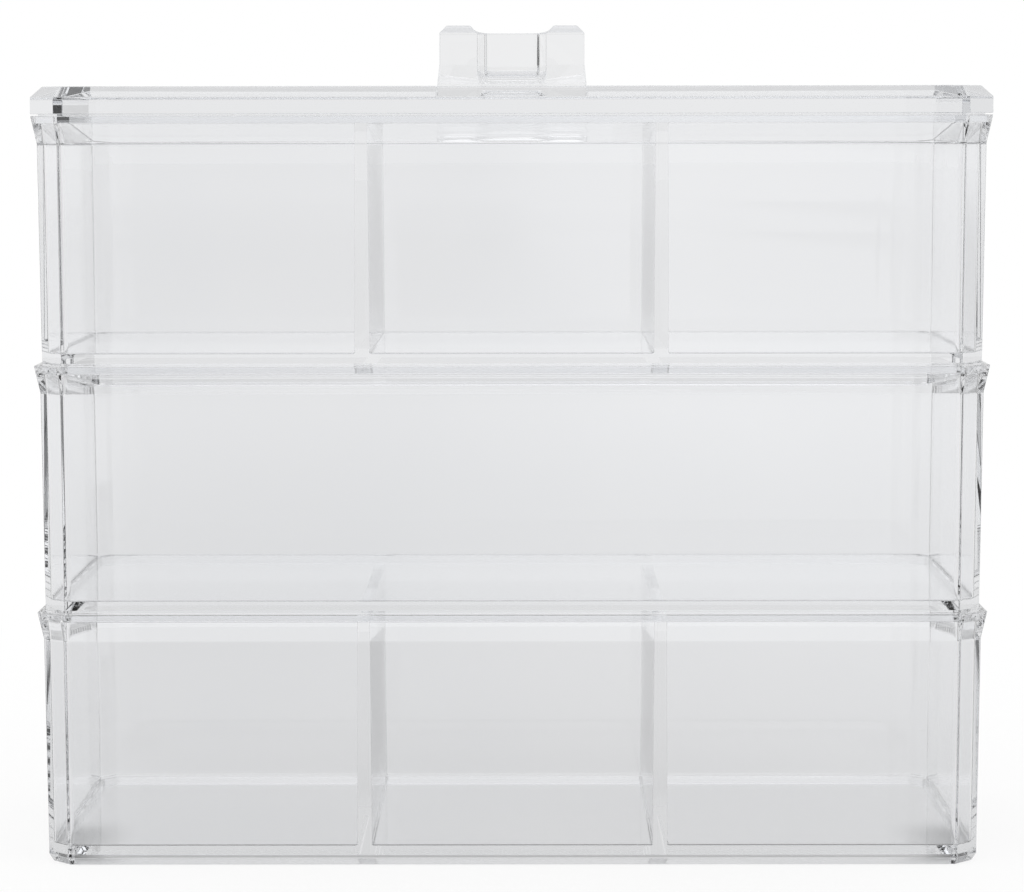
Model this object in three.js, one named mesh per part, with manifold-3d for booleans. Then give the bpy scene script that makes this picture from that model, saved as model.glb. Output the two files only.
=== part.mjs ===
import * as THREE from 'three';
import { mergeVertices } from 'three/addons/utils/BufferGeometryUtils.js';
import Module from 'manifold-3d';

const wasm = await Module();
wasm.setup();

// Stacking box in clear plastic: three nesting trays, a thick bevelled lid and a grip.
// Millimetres, +Z up, front towards -Y, origin in the middle of the underside.

// Whole box
const boxLength = 240;            // over the rims, left to right
const boxDepth = 104;             // over the rims, front to back
const trayCount = 3;
const runningGap = 0.3;           // between pieces that lift apart
const bondGap = 0.1;              // bond line where a plate is fixed to a drafted wall

// Tray
const trayHeight = 64.2;
const wallThickness = 2.5;
const floorThickness = 2.4;
const rimFlareOut = 1.5;          // how far the collar leans out at the rim
const rimFlareHeight = 7;
const rimLipWidth = 1.2;          // lip round the seat of the tray or lid above
const rimEdgeRadius = 0.35;
const seatDepth = 1.8;            // from the rim down to the ledge that carries what stands on it
const wallDraft = 0.5;            // how far the wall leans in from the collar to the foot
const footHeight = 2;
const footTaper = 1.2;            // the foot draws in so that it drops into the collar below
const footRimWidth = 2.3;
const footRecess = 2.4;           // hollow under the floor, inside the foot
const floorFillet = 1.2;
const wallChamferWidth = 5.7;     // 45 degree cut of the vertical corners, along each outside face
const outerEdgeRadius = 0.6;
const innerEdgeRadius = 1;

// Divider plates
const dividerSpacing = 74.8;      // from the middle of one plate to the middle of the other
const dividerThickness = 3;       // at the top edge
const dividerDraft = 0.3;         // how far each face leans out down to the floor
const dividerTopDrop = 0.4;       // below the ledge, clear of the lid and of the tray above
const dividerEndFlare = 1;        // fillet where a plate meets wall and floor

// Lid
const lidThickness = 6.85;
const lidEdgeBevelIn = 2.9;
const lidEdgeBevelDown = 2.7;
const lidShadowGap = 0.4;         // left open between the rim and the lid's overhang

// Grip
const gripLength = 37.8;
const gripDepth = 14;
const gripHeight = 16.2;
const gripBlockLength = 9.9;
const gripTopBevelIn = 1.9;
const gripTopBevelDown = 2;
const gripToeOut = 0.5;           // the blocks spread a little towards the lid
const gripToeHeight = 6;
const gripWebThickness = 6;
const gripScoopRadius = 3.4;      // finger hollow, where the web runs out to the lid
const gripScoopCorner = 2;        // finger hollow, in plan, beside the blocks
const gripWebFoot = 1.2;          // solid edge under the finger hollow
const cutOverrun = 1;             // tools run this far past what they cut

// Facets
const cornerSteps = 2;
const filletSteps = 3;
const scoopSteps = 6;

// Worked out
const nestPitch = trayHeight - seatDepth;
const ledgeLevel = trayHeight - seatDepth;
const flareLevel = trayHeight - rimFlareHeight;
const floorLevel = footRecess + floorThickness;
const stackHeight = nestPitch * (trayCount - 1) + trayHeight;
const lidUnderside = stackHeight + lidShadowGap;
const lidTop = lidUnderside + lidThickness;
const seatTaper = seatDepth * rimFlareOut / rimFlareHeight;   // the lip leans out as the collar does
const octagonGrowth = 2 - Math.SQRT2;   // growth of a 45 degree corner cut per unit of offset

// The wall's outside where the collar starts; every other outline is an offset of it
const wallOutline = {
  halfLength: boxLength / 2 - rimFlareOut,
  halfDepth: boxDepth / 2 - rimFlareOut,
  leg: wallChamferWidth,
};

function offsetOutline(outline, distance) {
  return {
    halfLength: outline.halfLength + distance,
    halfDepth: outline.halfDepth + distance,
    leg: outline.leg + distance * octagonGrowth,
  };
}

// Rectangle with 45 degree corners and lightly rounded edges, counterclockwise
function outlinePoints(outline, edgeRadius) {
  const { halfLength, halfDepth, leg } = outline;
  const corners = [
    [halfLength, leg - halfDepth],
    [halfLength, halfDepth - leg],
    [halfLength - leg, halfDepth],
    [leg - halfLength, halfDepth],
    [-halfLength, halfDepth - leg],
    [-halfLength, leg - halfDepth],
    [leg - halfLength, -halfDepth],
    [halfLength - leg, -halfDepth],
  ].map(([x, y]) => new THREE.Vector2(x, y));
  const points = [];
  corners.forEach((corner, index) => {
    const before = corners[(index + corners.length - 1) % corners.length];
    const after = corners[(index + 1) % corners.length];
    const incoming = corner.clone().sub(before).normalize();
    const outgoing = after.clone().sub(corner).normalize();
    const turn = Math.acos(THREE.MathUtils.clamp(incoming.dot(outgoing), -1, 1));
    const tangent = edgeRadius * Math.tan(turn / 2);
    const inward = new THREE.Vector2(-incoming.y, incoming.x);
    const centre = corner.clone().addScaledVector(incoming, -tangent).addScaledVector(inward, edgeRadius);
    const spoke = inward.clone().multiplyScalar(-edgeRadius);
    for (let step = 0; step <= cornerSteps; step += 1) {
      const swung = spoke.clone().rotateAround(new THREE.Vector2(), (turn * step) / cornerSteps);
      points.push(centre.clone().add(swung));
    }
  });
  return points;
}

// Closed solid through a run of rings with equal point counts, capped at both ends.
// The run goes from the underside outwards, up the outside and down the inside.
function loftRings(rings) {
  const count = rings[0].points.length;
  const positions = [];
  rings.forEach(({ points, z }) => points.forEach((point) => positions.push(point.x, point.y, z)));
  const index = [];
  for (let ring = 0; ring + 1 < rings.length; ring += 1) {
    for (let side = 0; side < count; side += 1) {
      const next = (side + 1) % count;
      const low = ring * count;
      const high = low + count;
      index.push(low + side, low + next, high + next);
      index.push(low + side, high + next, high + side);
    }
  }
  const last = (rings.length - 1) * count;
  const startCap = THREE.ShapeUtils.triangulateShape(rings[0].points, []);
  const endCap = THREE.ShapeUtils.triangulateShape(rings[rings.length - 1].points, []);
  startCap.forEach(([a, b, c]) => index.push(a, c, b));
  endCap.forEach(([a, b, c]) => index.push(last + a, last + b, last + c));
  const geometry = new THREE.BufferGeometry();
  geometry.setAttribute('position', new THREE.Float32BufferAttribute(positions, 3));
  geometry.setIndex(index);
  return geometry;
}

// Half-width of a drafted wall at a level, as an offset of the wall outline
function wallOffset(level) {
  const rise = flareLevel - footHeight;
  return -wallDraft * THREE.MathUtils.clamp((flareLevel - level) / rise, 0, 1);
}

function ring(offset, edgeRadius, z) {
  return { points: outlinePoints(offsetOutline(wallOutline, offset), edgeRadius), z };
}

function makeTray() {
  const wallFoot = wallOffset(footHeight);
  const footBottom = wallFoot - footTaper;
  const recessEdge = footBottom - footRimWidth;
  const rimOutside = rimFlareOut;
  const rimInside = rimFlareOut - rimLipWidth;
  const ledgeInside = -wallThickness;
  const rings = [
    ring(recessEdge, innerEdgeRadius, footRecess),
    ring(recessEdge, innerEdgeRadius, 0),
    ring(footBottom, outerEdgeRadius, 0),
    ring(wallFoot, outerEdgeRadius, footHeight),
    ring(0, outerEdgeRadius, flareLevel),
    ring(rimOutside, outerEdgeRadius, trayHeight - rimEdgeRadius),
    ring(rimOutside - rimEdgeRadius, outerEdgeRadius, trayHeight),
    ring(rimInside, innerEdgeRadius, trayHeight),
    ring(rimInside - seatTaper, innerEdgeRadius, ledgeLevel),
    ring(ledgeInside, innerEdgeRadius, ledgeLevel),
    ring(ledgeInside, innerEdgeRadius, flareLevel),
  ];
  for (let step = 0; step <= filletSteps; step += 1) {
    const swing = (Math.PI / 2) * (step / filletSteps);
    const level = floorLevel + floorFillet * (1 - Math.sin(swing));
    const inset = floorFillet * (1 - Math.cos(swing));
    const wall = wallOffset(floorLevel + floorFillet) - wallThickness;
    rings.push(ring(wall - inset, innerEdgeRadius, level));
  }
  return loftRings(rings);
}

// Plan of a divider plate: straight sides that spread into the walls at both ends
function dividerPlan(halfLength, halfThickness) {
  const points = [];
  const quarters = [[1, -1], [1, 1], [-1, 1], [-1, -1]];
  quarters.forEach(([sideX, sideY], quarter) => {
    for (let step = 0; step <= filletSteps; step += 1) {
      const towardsEnd = quarter % 2 === 1 ? step : filletSteps - step;
      const swing = (Math.PI / 2) * (towardsEnd / filletSteps);
      const x = halfThickness + dividerEndFlare * (1 - Math.cos(swing));
      const y = halfLength - dividerEndFlare * (1 - Math.sin(swing));
      points.push(new THREE.Vector2(sideX * x, sideY * y));
    }
  });
  return points;
}

function makeDivider() {
  const halfInside = (level) => wallOutline.halfDepth + wallOffset(level) - wallThickness - bondGap;
  const top = ledgeLevel - dividerTopDrop;
  const filletTop = floorLevel + floorFillet;
  const halfPlate = (level) => dividerThickness / 2 + dividerDraft * (top - level) / (top - filletTop);
  const rings = [];
  for (let step = 0; step <= filletSteps; step += 1) {
    const swing = (Math.PI / 2) * (step / filletSteps);
    const level = floorLevel + floorFillet * (1 - Math.cos(swing));
    const footInset = floorFillet * (1 - Math.sin(swing));
    const flare = dividerEndFlare * (1 - Math.sin(swing));
    const halfLength = halfInside(filletTop) - footInset;
    rings.push({ points: dividerPlan(halfLength, halfPlate(filletTop) + flare), z: level });
  }
  rings.push({ points: dividerPlan(halfInside(flareLevel), halfPlate(flareLevel)), z: flareLevel });
  rings.push({ points: dividerPlan(halfInside(flareLevel), halfPlate(top)), z: top });
  return loftRings(rings);
}

function makeLid() {
  const overhang = rimFlareOut;
  const spigot = rimFlareOut - rimLipWidth - runningGap;
  return loftRings([
    ring(spigot - seatTaper, outerEdgeRadius, ledgeLevel + nestPitch * (trayCount - 1)),
    ring(spigot, outerEdgeRadius, stackHeight),
    ring(spigot, outerEdgeRadius, lidUnderside),
    ring(overhang, outerEdgeRadius, lidUnderside),
    ring(overhang, outerEdgeRadius, lidTop - lidEdgeBevelDown),
    ring(overhang - lidEdgeBevelIn, outerEdgeRadius, lidTop),
  ]);
}

// Booleans
function toManifold(geometry) {
  const bare = geometry.clone();
  bare.deleteAttribute('normal');
  bare.deleteAttribute('uv');
  const merged = mergeVertices(bare);
  return new wasm.Manifold(new wasm.Mesh({
    numProp: 3,
    vertProperties: new Float32Array(merged.attributes.position.array),
    triVerts: new Uint32Array(merged.index.array),
  }));
}

function toGeometry(manifold) {
  const mesh = manifold.getMesh();
  const geometry = new THREE.BufferGeometry();
  geometry.setAttribute('position', new THREE.BufferAttribute(new Float32Array(mesh.vertProperties), 3));
  geometry.setIndex(new THREE.BufferAttribute(new Uint32Array(mesh.triVerts), 1));
  return geometry;
}

// Prism of an outline, centred along the direction in which it is drawn out
function prism(outline, length) {
  const geometry = new THREE.ExtrudeGeometry(outline, {
    depth: length,
    bevelEnabled: false,
    curveSegments: scoopSteps,
  });
  geometry.translate(0, 0, -length / 2);
  return geometry;
}

function gripFront() {
  const half = gripLength / 2;
  const shoulder = gripHeight - gripTopBevelDown;
  const blockInside = half - gripBlockLength;
  const right = [
    [half + gripToeOut, 0],
    [half + gripToeOut, gripWebFoot],
    [half, gripToeHeight],
    [half, shoulder],
    [half - gripTopBevelIn, gripHeight],
    [blockInside + gripTopBevelIn, gripHeight],
    [blockInside, shoulder],
  ];
  const left = right.map(([x, z]) => [-x, z]).reverse();
  const outline = new THREE.Shape([...right, ...left].map(([x, z]) => new THREE.Vector2(x, z)));
  return prism(outline, gripDepth + 2 * (gripToeOut + cutOverrun)).rotateX(Math.PI / 2);
}

function gripSide() {
  const half = gripDepth / 2;
  const front = [
    [half + gripToeOut, 0],
    [half + gripToeOut, gripWebFoot],
    [half, gripToeHeight],
    [half, gripHeight - gripTopBevelDown],
    [half - gripTopBevelIn, gripHeight],
  ];
  const back = front.map(([y, z]) => [-y, z]).reverse();
  const outline = new THREE.Shape([...front, ...back].map(([y, z]) => new THREE.Vector2(y, z)));
  const length = gripLength + 2 * (gripToeOut + cutOverrun);
  return prism(outline, length).rotateX(Math.PI / 2).rotateZ(Math.PI / 2);
}

// One finger hollow: runs down beside the web and curves out to the lid, with round corners in plan
function gripScoop(side) {
  const webHalf = gripWebThickness / 2;
  const outer = gripDepth / 2 + gripToeOut + cutOverrun;
  const profile = new THREE.Shape();
  profile.moveTo(webHalf, gripHeight + cutOverrun);
  profile.lineTo(webHalf, gripWebFoot + gripScoopRadius);
  profile.absarc(webHalf + gripScoopRadius, gripWebFoot + gripScoopRadius, gripScoopRadius,
    Math.PI, Math.PI * 1.5, false);
  profile.lineTo(outer, gripWebFoot);
  profile.lineTo(outer, gripHeight + cutOverrun);
  profile.closePath();
  const webLength = gripLength - 2 * gripBlockLength;
  const section = prism(profile, webLength + 2 * cutOverrun).rotateX(Math.PI / 2).rotateZ(Math.PI / 2);

  const halfWeb = webLength / 2;
  const plan = new THREE.Shape();
  plan.moveTo(halfWeb, outer);
  plan.lineTo(-halfWeb, outer);
  plan.lineTo(-halfWeb, webHalf + gripScoopCorner);
  plan.absarc(gripScoopCorner - halfWeb, webHalf + gripScoopCorner, gripScoopCorner,
    Math.PI, Math.PI * 1.5, false);
  plan.absarc(halfWeb - gripScoopCorner, webHalf + gripScoopCorner, gripScoopCorner,
    Math.PI * 1.5, Math.PI * 2, false);
  plan.closePath();
  const column = prism(plan, 2 * (gripHeight + cutOverrun));
  const hollow = toManifold(section).intersect(toManifold(column));
  return side > 0 ? hollow : hollow.rotate([0, 0, 180]);
}

function makeGrip() {
  const body = toManifold(gripFront()).intersect(toManifold(gripSide()));
  return toGeometry(body.subtract(gripScoop(1)).subtract(gripScoop(-1)));
}

// Finish
function clearPlastic(shade) {
  return new THREE.MeshStandardMaterial({
    color: shade,
    roughness: 0.06,
    metalness: 0,
    transparent: true,
    opacity: 0.3,
  });
}

function named(name, geometry, shade) {
  const mesh = new THREE.Mesh(geometry, clearPlastic(shade));
  mesh.name = name;
  return mesh;
}

// Assembly
const box = new THREE.Group();
const trayNames = ['bottom_tray', 'middle_tray', 'top_tray'];
const dividedTrays = ['bottom_tray', 'top_tray'];
const dividerSides = ['left', 'right'];

trayNames.forEach((trayName, level) => {
  const tier = new THREE.Group();
  tier.position.z = nestPitch * level;
  tier.add(named(trayName, makeTray(), 0xe4e9ea));
  if (dividedTrays.includes(trayName)) {
    dividerSides.forEach((side, order) => {
      const divider = named(`${trayName.replace('tray', 'divider')}_${side}`, makeDivider(), 0xdfe5e6);
      divider.position.x = dividerSpacing * (order - (dividerSides.length - 1) / 2);
      tier.add(divider);
    });
  }
  box.add(tier);
});

box.add(named('lid', makeLid(), 0xe9eded));

const grip = named('grip', makeGrip(), 0xeef1f1);
grip.position.z = lidTop;
box.add(grip);

export default box;
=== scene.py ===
import math

import bmesh
import bpy
from mathutils import Matrix, Vector


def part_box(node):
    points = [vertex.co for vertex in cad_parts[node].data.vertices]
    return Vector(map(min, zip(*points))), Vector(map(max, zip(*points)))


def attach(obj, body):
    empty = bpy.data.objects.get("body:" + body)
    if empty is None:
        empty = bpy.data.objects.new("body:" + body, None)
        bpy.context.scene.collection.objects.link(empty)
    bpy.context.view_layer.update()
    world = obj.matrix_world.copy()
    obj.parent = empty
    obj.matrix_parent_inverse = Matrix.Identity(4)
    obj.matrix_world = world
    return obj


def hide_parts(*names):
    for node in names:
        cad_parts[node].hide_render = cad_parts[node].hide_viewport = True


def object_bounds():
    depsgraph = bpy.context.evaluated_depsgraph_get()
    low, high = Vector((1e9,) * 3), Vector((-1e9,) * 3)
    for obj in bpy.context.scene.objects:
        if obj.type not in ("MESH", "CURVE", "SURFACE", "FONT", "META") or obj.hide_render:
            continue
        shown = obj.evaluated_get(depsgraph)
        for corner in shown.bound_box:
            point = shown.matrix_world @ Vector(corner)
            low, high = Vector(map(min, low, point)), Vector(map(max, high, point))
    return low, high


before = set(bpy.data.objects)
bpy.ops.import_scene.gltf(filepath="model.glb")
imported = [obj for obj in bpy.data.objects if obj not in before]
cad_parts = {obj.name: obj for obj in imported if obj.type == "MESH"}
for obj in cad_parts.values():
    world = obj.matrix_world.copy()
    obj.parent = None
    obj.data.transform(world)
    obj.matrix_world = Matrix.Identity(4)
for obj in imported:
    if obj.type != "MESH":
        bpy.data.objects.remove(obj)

# Clear stacking box: three nesting trays, a thick bevelled lid and a grip.
# Metres, +Z up, front towards -Y.
scene = bpy.context.scene
mm = 0.001
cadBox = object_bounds()
print("frame loaded:", ", ".join(sorted(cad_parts)))


# Camera
cameraPlan = {
    "sensorWidth": 36.0,
    "imageWidth": 1024,
    "focalPixels": 3333.3,
    "sideways": 3.21 * mm,
    "beforeFront": 827.8 * mm,
    "eyeHeight": 184.7 * mm,
    "tiltDown": math.radians(5.373),
    "turnLeft": math.radians(0.218),
    "roll": math.radians(0.086),
    "nearest": 0.01,
    "farthest": 50,
}

# Light crosses many clear walls before it leaves the box
bouncePlan = {"most": 40, "transmission": 40, "glossy": 40, "transparent": 16}


def placeCamera(plan):
    cameraData = bpy.data.cameras.new("camera")
    cameraData.sensor_width = plan["sensorWidth"]
    cameraData.lens = plan["focalPixels"] * plan["sensorWidth"] / plan["imageWidth"]
    cameraData.clip_start = plan["nearest"]
    cameraData.clip_end = plan["farthest"]
    camera = bpy.data.objects.new("camera", cameraData)
    scene.collection.objects.link(camera)
    tilt, turn, roll = plan["tiltDown"], plan["turnLeft"], plan["roll"]
    level = math.cos(tilt)
    ahead = Vector((-math.sin(turn) * level, math.cos(turn) * level, -math.sin(tilt)))
    levelRight = ahead.cross(Vector((0, 0, 1))).normalized()
    levelUp = levelRight.cross(ahead)
    right = levelRight * math.cos(roll) - levelUp * math.sin(roll)
    up = levelUp * math.cos(roll) + levelRight * math.sin(roll)
    place = Matrix((right, up, -ahead)).transposed().to_4x4()
    place.translation = (plan["sideways"], cadBox[0].y - plan["beforeFront"], plan["eyeHeight"])
    camera.matrix_world = place
    scene.camera = camera


placeCamera(cameraPlan)
scene.view_settings.view_transform = "Standard"
scene.cycles.max_bounces = bouncePlan["most"]
scene.cycles.transmission_bounces = bouncePlan["transmission"]
scene.cycles.glossy_bounces = bouncePlan["glossy"]
scene.cycles.transparent_max_bounces = bouncePlan["transparent"]
print("camera placed")


# Shader maths
class Wire:
    # One value in a node tree; Python's signs add the Math nodes.
    def __init__(self, graph, socket):
        self.graph = graph
        self.socket = socket

    def __add__(self, other):
        return self.graph.maths("ADD", self, other)

    def __sub__(self, other):
        return self.graph.maths("SUBTRACT", self, other)

    def __rsub__(self, other):
        return self.graph.maths("SUBTRACT", other, self)

    def __mul__(self, other):
        return self.graph.maths("MULTIPLY", self, other)

    def clipped(self):
        return self.graph.maths("ADD", self, 0.0, clip=True)

    def ramp(self, low, high, fromValue=0.0, toValue=1.0):
        # Runs smoothly from one value to another while this one goes from low to high.
        settings = {"interpolation_type": "SMOOTHSTEP", "clamp": True}
        sockets = {
            "Value": self,
            "From Min": low,
            "From Max": high,
            "To Min": fromValue,
            "To Max": toValue,
        }
        return self.graph.node("ShaderNodeMapRange", settings, sockets)["Result"]


class Graph:
    def __init__(self, owner):
        owner.use_nodes = True
        self.tree = owner.node_tree
        self.tree.nodes.clear()

    def node(self, kind, settings=None, sockets=None):
        # A node of any kind: its settings first, then what its sockets hold.
        made = self.tree.nodes.new(kind)
        for name, value in (settings or {}).items():
            setattr(made, name, value)
        for name, value in (sockets or {}).items():
            if isinstance(value, Wire):
                self.tree.links.new(value.socket, made.inputs[name])
            else:
                made.inputs[name].default_value = value
        return {out.name: Wire(self, out) for out in made.outputs if out.enabled}

    def maths(self, operation, first, second, clip=False):
        settings = {"operation": operation, "use_clamp": clip}
        return self.node("ShaderNodeMath", settings, {0: first, 1: second})["Value"]


# World: white to the camera. In the plastic it shows dimmer, more so overhead and in front on the
# left, and nearly dark at the far right end.
worldPlan = {
    "white": 1.0,
    "glassLevel": 0.885,
    "upLevel": 0.72,
    "upStart": 0.08,
    "upEnd": 0.22,
    "frontLeft": 0.6,
    "frontRight": 0.98,
    "frontTurn": 0.16,
    "frontStart": 0.15,
    "frontEnd": -0.55,
    "rightStart": 0.8,
    "rightEnd": 0.93,
    "rightDark": 0.95,
}


def paintWorld(plan):
    world = bpy.data.worlds.new("studio")
    scene.world = world
    graph = Graph(world)
    direction = graph.node("ShaderNodeTexCoord")["Generated"]
    towards = graph.node("ShaderNodeSeparateXYZ", sockets={"Vector": direction})
    turn = plan["frontTurn"]
    front = towards["X"].ramp(-turn, turn, plan["frontLeft"], plan["frontRight"])
    behind = towards["Z"].ramp(plan["upStart"], plan["upEnd"], plan["glassLevel"], plan["upLevel"])
    level = front + towards["Y"].ramp(plan["frontEnd"], plan["frontStart"]) * (behind - front)
    right = towards["X"].ramp(plan["rightStart"], plan["rightEnd"], 0.0, plan["rightDark"])
    level = level * (1 - right)
    seen = graph.node("ShaderNodeLightPath")["Is Camera Ray"]
    shown = level + seen * (plan["white"] - level)
    back = graph.node("ShaderNodeBackground", sockets={"Color": shown, "Strength": 1.0})
    graph.node("ShaderNodeOutputWorld", sockets={"Surface": back["Background"]})


paintWorld(worldPlan)


# Floor: pale, runs out into the white background, with a soft shadow round the box. In the plastic
# it glows with painted shade: a painted shadow near the box and along the front of the foot,
# painted light from under the box forwards, and painted shade in front on the left and at the far
# right end.
floorPlan = {
    "size": 60.0,
    "below": 0.1 * mm,
    "colour": (0.95, 0.95, 0.95, 1),
    "shadowShare": 0.12,
    "shadowStart": 0.1,
    "shadowEnd": 0.4,
    "glassShare": 0.8,
    "paintedShadowLevel": 0.7,
    "nearEnd": 0.1,
    "farStart": 1.6,
    "farLevel": 0.86,
    "skylineStart": 2.5,
    "skylineEnd": 12,
    "skylineLevel": 0.9,
    "paintedLightUnder": 1.11,
    "underStart": 50 * mm,
    "underEnd": 90 * mm,
    "contactShade": 0.8,
    "contactReach": 20 * mm,
    "footInset": 3.2 * mm,
    "frontLeft": 0.5,
    "frontRight": 1.0,
    "frontTurn": 0.16,
    "frontStart": -0.1,
    "frontEnd": -0.3,
    "rightStart": 1.2,
    "rightEnd": 2.2,
    "rightDark": 0.95,
    "rightBackStart": 0.4,
    "rightBackEnd": 1.0,
}


def layFloor(plan):
    shape = bmesh.new()
    bmesh.ops.create_grid(shape, x_segments=1, y_segments=1, size=plan["size"] / 2)
    bmesh.ops.translate(shape, vec=(0, 0, cadBox[0].z - plan["below"]), verts=shape.verts)
    mesh = bpy.data.meshes.new("floor")
    shape.to_mesh(mesh)
    shape.free()
    floor = bpy.data.objects.new("floor", mesh)
    scene.collection.objects.link(floor)
    material = bpy.data.materials.new("paleFloor")
    graph = Graph(material)
    path = graph.node("ShaderNodeLightPath")
    camera = path["Is Camera Ray"]
    throughGlass = (path["Is Glossy Ray"] + path["Is Transmission Ray"]).clipped() * (1 - camera)
    place = graph.node("ShaderNodeTexCoord")["Object"]
    spot = graph.node("ShaderNodeSeparateXYZ", sockets={"Vector": place})
    distance = graph.node("ShaderNodeVectorMath", {"operation": "LENGTH"}, {0: place})["Value"]

    # Painted shadow: seen in the plastic the floor glows darkest near the box and lighter further
    # out
    level = distance.ramp(plan["nearEnd"], plan["farStart"], plan["paintedShadowLevel"], plan["farLevel"])
    skyline = distance.ramp(plan["skylineStart"], plan["skylineEnd"])
    level = level + skyline * (plan["skylineLevel"] - level)
    # Painted shade in front on the left
    turn = plan["frontTurn"]
    front = spot["X"].ramp(-turn, turn, plan["frontLeft"], plan["frontRight"])
    inFront = spot["Y"].ramp(plan["frontEnd"], plan["frontStart"], 1.0, 0.0)
    level = level + inFront * (front - level)
    # Painted light: lighter from under the box forwards
    level = level * spot["Y"].ramp(plan["underStart"], plan["underEnd"], plan["paintedLightUnder"], 1.0)

    # Painted contact shadow: a thin dark line where the front of the foot meets the floor
    besideFoot = graph.maths("ABSOLUTE", spot["X"], 0) - (cadBox[1].x - plan["footInset"])
    beforeFoot = cadBox[0].y + plan["footInset"] - spot["Y"]
    offFoot = graph.maths("ABSOLUTE", graph.maths("MAXIMUM", besideFoot, beforeFoot), 0)
    contact = offFoot.ramp(0.0, plan["contactReach"], plan["contactShade"], 0.0)
    level = level * (1 - contact * spot["Y"].ramp(-plan["contactReach"], 0.0, 1.0, 0.0))

    # Painted shade at the far right end, fading out further behind the box
    right = spot["X"].ramp(plan["rightStart"], plan["rightEnd"], 0.0, plan["rightDark"])
    notBehind = spot["Y"].ramp(plan["rightBackStart"], plan["rightBackEnd"], 1.0, 0.0)
    level = level * (1 - right * notBehind)
    shown = level + camera * (1 - level)

    shadow = distance.ramp(plan["shadowStart"], plan["shadowEnd"], plan["shadowShare"], 0.0)
    share = camera * (1 - shadow) + throughGlass * plan["glassShare"]
    lit = graph.node("ShaderNodeBsdfDiffuse", sockets={"Color": plan["colour"]})["BSDF"]
    glow = graph.node("ShaderNodeEmission", sockets={"Color": shown, "Strength": 1.0})["Emission"]
    mixed = graph.node("ShaderNodeMixShader", sockets={0: share, 1: lit, 2: glow})
    graph.node("ShaderNodeOutputMaterial", sockets={"Surface": mixed["Shader"]})
    mesh.materials.append(material)


layFloor(floorPlan)


# Lamps: a broad soft one overhead and a weaker one from the front left
lampPlans = {
    "overheadLamp": {"place": (0, 0.1, 1.5), "width": 2.6, "height": 2.0, "power": 9},
    "frontLamp": {"place": (-0.5, -1.3, 1.2), "width": 1.6, "height": 1.6, "power": 5},
}
lampAim = Vector((0, 0, 0.1))


def hangLamp(name, plan):
    lampData = bpy.data.lights.new(name, "AREA")
    lampData.shape = "RECTANGLE"
    lampData.size = plan["width"]
    lampData.size_y = plan["height"]
    lampData.energy = plan["power"]
    lamp = bpy.data.objects.new(name, lampData)
    scene.collection.objects.link(lamp)
    lamp.location = plan["place"]
    towards = lampAim - Vector(plan["place"])
    lamp.rotation_euler = towards.to_track_quat("-Z", "Y").to_euler()


for lampName, lampPlan in lampPlans.items():
    hangLamp(lampName, lampPlan)
print("studio ready")


# Clear plastic: nearly colourless, with faint clouds in its tint and its polish. A long way
# through it darkens the light.
plasticPlan = {
    "tintLow": (0.968, 0.973, 0.982, 1),
    "tintHigh": (0.982, 0.985, 0.992, 1),
    "tintStart": 0.3,
    "tintEnd": 0.7,
    "cloudScale": 14,
    "cloudDetail": 2,
    "dullStart": 0.5,
    "dullEnd": 0.8,
    "dullRoughness": 0.03,
    "bend": 1.49,
    "depthTint": (0.79, 0.8, 0.82, 1),
    "depthDensity": 2.8,
}


def clearPlastic(name, plan):
    material = bpy.data.materials.new(name)
    graph = Graph(material)
    place = graph.node("ShaderNodeTexCoord")["Object"]
    noise = {"Vector": place, "Scale": plan["cloudScale"], "Detail": plan["cloudDetail"]}
    cloud = graph.node("ShaderNodeTexNoise", sockets=noise)["Fac"]
    share = cloud.ramp(plan["tintStart"], plan["tintEnd"])
    tints = {0: share, 6: plan["tintLow"], 7: plan["tintHigh"]}  # 6 and 7 are its two colours
    sockets = {
        "Base Color": graph.node("ShaderNodeMix", {"data_type": "RGBA"}, tints)["Result"],
        "Roughness": cloud.ramp(plan["dullStart"], plan["dullEnd"], 0.0, plan["dullRoughness"]),
        "IOR": plan["bend"],
        "Transmission Weight": 1.0,
    }
    surface = graph.node("ShaderNodeBsdfPrincipled", sockets=sockets)["BSDF"]
    depth = {"Color": plan["depthTint"], "Density": plan["depthDensity"]}
    inside = graph.node("ShaderNodeVolumeAbsorption", sockets=depth)["Volume"]
    graph.node("ShaderNodeOutputMaterial", sockets={"Surface": surface, "Volume": inside})
    return material


plastic = clearPlastic("clearPlastic", plasticPlan)


# Modelling helpers
shapePlan = {
    "cutSlack": 1e-7,
    "faceSlack": 1e-6,
    "edgeSlack": 1e-5,
    "facingUp": 0.9,
    "flatFold": math.radians(0.01),
    "roundingSegments": 4,
}


def sameLevel(first, second):
    return abs(first - second) < shapePlan["edgeSlack"]


def startPrism(length, depth, cornerCut, low, high):
    # An upright block with its four upright corners cut at 45 degrees.
    shape = bmesh.new()
    bmesh.ops.create_cube(shape, size=1.0)
    bmesh.ops.scale(shape, vec=(length, depth, high - low), verts=shape.verts)
    bmesh.ops.translate(shape, vec=(0, 0, (low + high) / 2), verts=shape.verts)
    uprights = [edge for edge in shape.edges
                if not sameLevel(edge.verts[0].co.z, edge.verts[1].co.z)]
    bmesh.ops.bevel(shape, geom=uprights, offset=cornerCut, offset_type="OFFSET", segments=1,
                    profile=0.5, affect="EDGES", material=-1)
    faces = sorted(shape.faces, key=lambda face: face.calc_center_median().z)
    return shape, faces[0], faces[-1]


def step(shape, faces, inwards, rise):
    # Draws faces in by a margin and moves them along their normals.
    bmesh.ops.inset_individual(shape, faces=faces, thickness=inwards, depth=rise,
                               use_even_offset=True)


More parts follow.
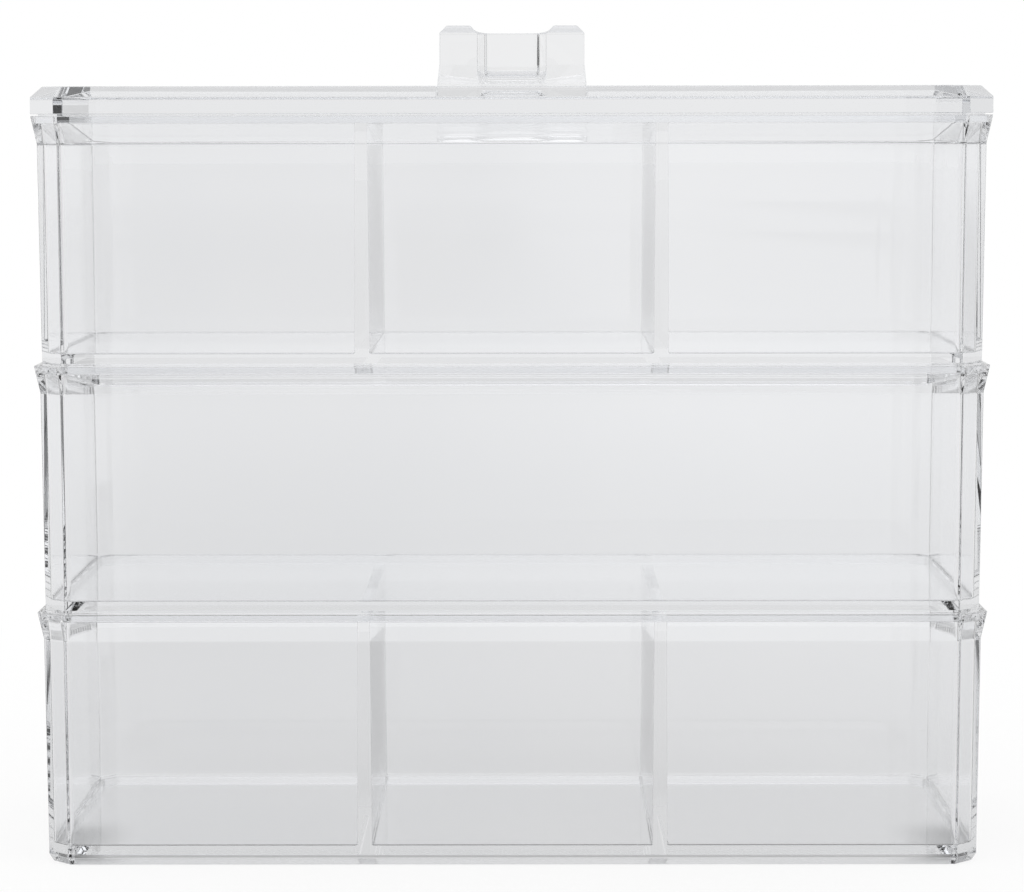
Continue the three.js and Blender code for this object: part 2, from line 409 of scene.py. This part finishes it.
def spread(face, outwards):
    # Shifts every side of a flat face outwards by the same distance.
    moves = []
    for loop in face.loops:
        corner = loop.vert.co
        before = (corner - loop.link_loop_prev.vert.co).normalized().cross(face.normal)
        after = (loop.link_loop_next.vert.co - corner).normalized().cross(face.normal)
        moves.append((loop.vert, (before + after) * outwards / (1 + before.dot(after))))
    for vert, move in moves:
        vert.co += move


def cutFaces(shape, faces, place, normal):
    # Splits flat faces along a plane and returns what they became.
    level = sum(face.calc_center_median().z for face in faces) / len(faces)
    geometry = dict.fromkeys(faces)  # each part once, in order
    for face in faces:
        geometry.update(dict.fromkeys([*face.edges, *face.verts]))
    cut = bmesh.ops.bisect_plane(shape, geom=list(geometry), plane_co=place, plane_no=normal,
                                 dist=shapePlan["cutSlack"])
    return [
        item for item in cut["geom"]
        if isinstance(item, bmesh.types.BMFace) and item.normal.z > shapePlan["facingUp"]
        and abs(item.calc_center_median().z - level) < shapePlan["faceSlack"]
    ]


def finishPiece(shape, name, body, replaced, radiusOf):
    # Rounds each edge by its own radius and hands the piece to its body.
    shape.normal_update()
    layers = shape.edges.layers.float
    weights = layers.get("bevel_weight_edge") or layers.new("bevel_weight_edge")
    radii = {edge: radiusOf(edge) for edge in shape.edges}
    largest = max(radii.values())
    for edge, radius in radii.items():
        edge[weights] = radius / largest
        edge.smooth = radius > 0 or abs(foldAngle(edge)) < shapePlan["flatFold"]
    for face in shape.faces:
        face.smooth = True
    mesh = bpy.data.meshes.new(name)
    shape.to_mesh(mesh)
    shape.free()
    piece = bpy.data.objects.new(name, mesh)
    scene.collection.objects.link(piece)
    rounding = piece.modifiers.new("rounding", "BEVEL")
    rounding.width = largest
    rounding.offset_type = "OFFSET"
    rounding.segments = shapePlan["roundingSegments"]
    rounding.limit_method = "WEIGHT"
    rounding.use_clamp_overlap = False
    rounding.harden_normals = False
    rounding.miter_outer = "MITER_SHARP"
    shading = piece.modifiers.new("shading", "WEIGHTED_NORMAL")
    shading.keep_sharp = True
    mesh.materials.append(plastic)
    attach(piece, body)
    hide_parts(*replaced)
    print("piece made:", name)


def foldAngle(edge):
    # Positive on outer edges, negative in inner corners.
    return edge.calc_face_angle_signed(0.0)


# Trays
trayPlan = {
    "wall": 2.5 * mm,
    "floor": 2.4 * mm,
    "flareOut": 1.5 * mm,
    "flareHeight": 7 * mm,
    "lip": 1.2 * mm,
    "seatDepth": 1.8 * mm,
    "draft": 0.5 * mm,
    "cornerCut": 5.7 * mm,
    "footHeight": 2 * mm,
    "footTaper": 1.2 * mm,
    "footRim": 2.3 * mm,
    "footRecess": 2.4 * mm,
    "restGap": 0.05 * mm,
    "dividerWall": 3.0 * mm,
    "pocketDraft": 0.3 * mm,
    "edgeRadius": 0.25 * mm,
    "seatRadius": 0.05 * mm,
    "collarStepIn": 0.3 * mm,
    "collarStepDown": 0.28 * mm,
    "kinkSpread": 0.35 * mm,
    "pocketRadius": 0.5 * mm,
    "pocketUpright": 0.7 * mm,
    "dividerUpright": 0.1 * mm,
    "kinkFold": math.radians(5),
    "softFold": math.radians(20),
    "squareFold": math.radians(80),
}


def makeTray(plan, node, body, dividers, stepIn, stepDown):
    low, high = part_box(node)
    footTop = low.z + plan["footHeight"]
    floorTop = low.z + plan["footRecess"] + plan["floor"]
    flareLevel = high.z - plan["flareHeight"]
    ledge = high.z - plan["seatDepth"]
    length = high.x - low.x - 2 * plan["flareOut"]
    depth = high.y - low.y - 2 * plan["flareOut"]

    # From the body down to the foot and its recess
    shape, bottom, top = startPrism(length, depth, plan["cornerCut"], footTop, flareLevel)
    spread(bottom, -plan["draft"])
    step(shape, [bottom], plan["footTaper"], plan["footHeight"] - plan["restGap"])
    step(shape, [bottom], plan["footRim"], 0)
    step(shape, [bottom], 0, plan["restGap"] - plan["footRecess"])

    # Up the flare, over the rim and down to the ledge on which the next foot stands
    seatTaper = plan["seatDepth"] * plan["flareOut"] / plan["flareHeight"]
    step(shape, [top], -plan["flareOut"], plan["flareHeight"])
    step(shape, [top], plan["lip"], 0)
    step(shape, [top], seatTaper, -plan["seatDepth"])
    step(shape, [top], plan["wall"] + plan["flareOut"] - plan["lip"] - seatTaper, 0)

    # A pocket on each side of every divider, down to the tray's floor
    pockets = [top]
    for divider in dividers:
        plateLow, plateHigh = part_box(divider)
        middle = (plateLow.x + plateHigh.x) / 2
        for side in (-1, 1):
            place = (middle + side * plan["dividerWall"] / 2, 0, 0)
            pockets = cutFaces(shape, pockets, place, (1, 0, 0))
    narrow = 2 * plan["dividerWall"]
    pockets = [face for face in pockets
               if max(v.co.x for v in face.verts) - min(v.co.x for v in face.verts) > narrow]
    step(shape, pockets, 0, flareLevel + stepDown - ledge)
    if stepDown:
        # A fine step at the base of the collar, along the outer walls only
        nearDivider = length / 4  # every corner of the outer walls lies further out
        step(shape, pockets, 0, -stepDown)
        for pocket in pockets:
            kept = {vert: vert.co.x for vert in pocket.verts if abs(vert.co.x) < nearDivider}
            spread(pocket, -stepIn)
            for vert, x in kept.items():
                vert.co.x = x
    step(shape, pockets, plan["pocketDraft"], floorTop - flareLevel)

    def radiusOf(edge):
        fold = foldAngle(edge)
        middle = (edge.verts[0].co + edge.verts[1].co) / 2
        kink = -plan["softFold"] < fold < -plan["kinkFold"]
        if kink and sameLevel(middle.z, flareLevel):
            return plan["kinkSpread"]
        if abs(fold) < plan["softFold"]:
            return 0
        if sameLevel(middle.z, ledge):
            return plan["seatRadius"]
        slack = shapePlan["edgeSlack"]
        if flareLevel - slack < middle.z < flareLevel + stepDown + slack:
            return 0
        if fold > 0 or not low.z + plan["footRecess"] < middle.z < ledge:
            return plan["edgeRadius"]
        if sameLevel(middle.z, floorTop):
            return plan["pocketRadius"]
        return plan["pocketUpright"] if fold > -plan["squareFold"] else plan["dividerUpright"]

    replaced = [node, *dividers]
    finishPiece(shape, f"{body}_tray_clear", body, replaced, radiusOf)


makeTray(trayPlan, "bottom_tray", "bottom", ["bottom_divider_left", "bottom_divider_right"], 0, 0)
makeTray(trayPlan, "middle_tray", "middle", [], 0, 0)
makeTray(trayPlan, "top_tray", "top", ["top_divider_left", "top_divider_right"],
         trayPlan["collarStepIn"], trayPlan["collarStepDown"])


# Lid with its grip
lidPlan = {
    "overhang": 1.5 * mm,
    "cornerCut": 5.7 * mm,
    "spigotIn": 1.9 * mm,
    "spigotHeight": 2.2 * mm,
    "restGap": 0.05 * mm,
    "bevelIn": 2.9 * mm,
    "bevelDown": 2.7 * mm,
    "edgeRadius": 0.15 * mm,
    "spigotRadius": 0.05 * mm,
    "softFold": math.radians(15),
}
gripPlan = {
    "blockLength": 9.9 * mm,
    "webThickness": 6 * mm,
    "toeOut": 0.5 * mm,
    "toeHeight": 6 * mm,
    "webFoot": 1.2 * mm,
    "topBevelIn": 1.9 * mm,
    "topBevelDown": 2 * mm,
    "hollowRadius": 3.4 * mm,
    "edgeRadius": 0.3 * mm,
    "jointRadius": 0.4 * mm,
}


def makeLid(plan, grip):
    low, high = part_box("lid")
    slabLow = low.z + plan["spigotHeight"]
    bevelLow = high.z - plan["bevelDown"]
    length, depth = high.x - low.x, high.y - low.y
    growth = 2 - math.sqrt(2)  # of a 45 degree cut, where the outline moves out by one
    cornerCut = plan["cornerCut"] + plan["overhang"] * growth
    shape, bottom, top = startPrism(length, depth, cornerCut, slabLow, bevelLow)
    step(shape, [bottom], plan["spigotIn"], 0)
    step(shape, [bottom], 0, plan["spigotHeight"] - plan["restGap"])
    step(shape, [top], plan["bevelIn"], plan["bevelDown"])
    raiseGrip(shape, top, grip)

    def radiusOf(edge):
        fold = foldAngle(edge)
        middle = (edge.verts[0].co + edge.verts[1].co) / 2
        slack = shapePlan["edgeSlack"]
        if abs(fold) < plan["softFold"]:
            return 0
        if middle.z < slabLow - slack:
            return plan["spigotRadius"]
        if middle.z < high.z - slack:
            return plan["edgeRadius"]
        if fold < 0 and sameLevel(middle.z, high.z):
            return grip["jointRadius"]
        if fold < 0:
            return grip["hollowRadius"]
        return grip["edgeRadius"]

    finishPiece(shape, "lid_with_grip", "cover", ["lid", "grip"], radiusOf)


def raiseGrip(shape, top, grip):
    # Marks the grip's plan on the lid and draws it up: foot, web and blocks, then chamfered tops.
    low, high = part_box("grip")
    blockInside = high.x - grip["toeOut"] - grip["blockLength"]
    webHalf = grip["webThickness"] / 2
    cells = [top]
    for x in (low.x, -blockInside, blockInside, high.x):
        cells = cutFaces(shape, cells, (x, 0, 0), (1, 0, 0))
    cells = [face for face in cells if abs(face.calc_center_median().x) < high.x]
    for y in (low.y, -webHalf, webHalf, high.y):
        cells = cutFaces(shape, cells, (0, y, 0), (0, 1, 0))
    cells = [face for face in cells if abs(face.calc_center_median().y) < high.y]
    cells = drawUp(shape, cells, grip["webFoot"])
    middles = {face: face.calc_center_median() for face in cells}
    cells = [face for face in cells
             if abs(middles[face].x) > blockInside or abs(middles[face].y) < webHalf]
    cells = drawUp(shape, cells, grip["toeHeight"] - grip["webFoot"])
    for vert in {vert for face in cells for vert in face.verts}:
        if abs(vert.co.x) > high.x - grip["toeOut"]:
            vert.co.x -= math.copysign(grip["toeOut"], vert.co.x)
        if abs(vert.co.y) > high.y - grip["toeOut"]:
            vert.co.y -= math.copysign(grip["toeOut"], vert.co.y)
    shoulder = high.z - low.z - grip["topBevelDown"]
    cells = drawUp(shape, cells, shoulder - grip["toeHeight"])
    blocks = [
        [face for face in cells if face.calc_center_median().x * side > blockInside]
        for side in (-1, 1)
    ]
    for block in blocks:
        joined = bmesh.ops.dissolve_faces(shape, faces=block, use_verts=False)["region"]
        step(shape, joined, grip["topBevelIn"], grip["topBevelDown"])


def drawUp(shape, faces, rise):
    # Draws joined faces straight up as one and puts walls round them.
    made = bmesh.ops.extrude_face_region(shape, geom=faces)["geom"]
    bmesh.ops.delete(shape, geom=faces, context="FACES")
    verts = [item for item in made if isinstance(item, bmesh.types.BMVert)]
    bmesh.ops.translate(shape, vec=(0, 0, rise), verts=verts)
    shape.normal_update()
    return [item for item in made if isinstance(item, bmesh.types.BMFace)]


makeLid(lidPlan, gripPlan)
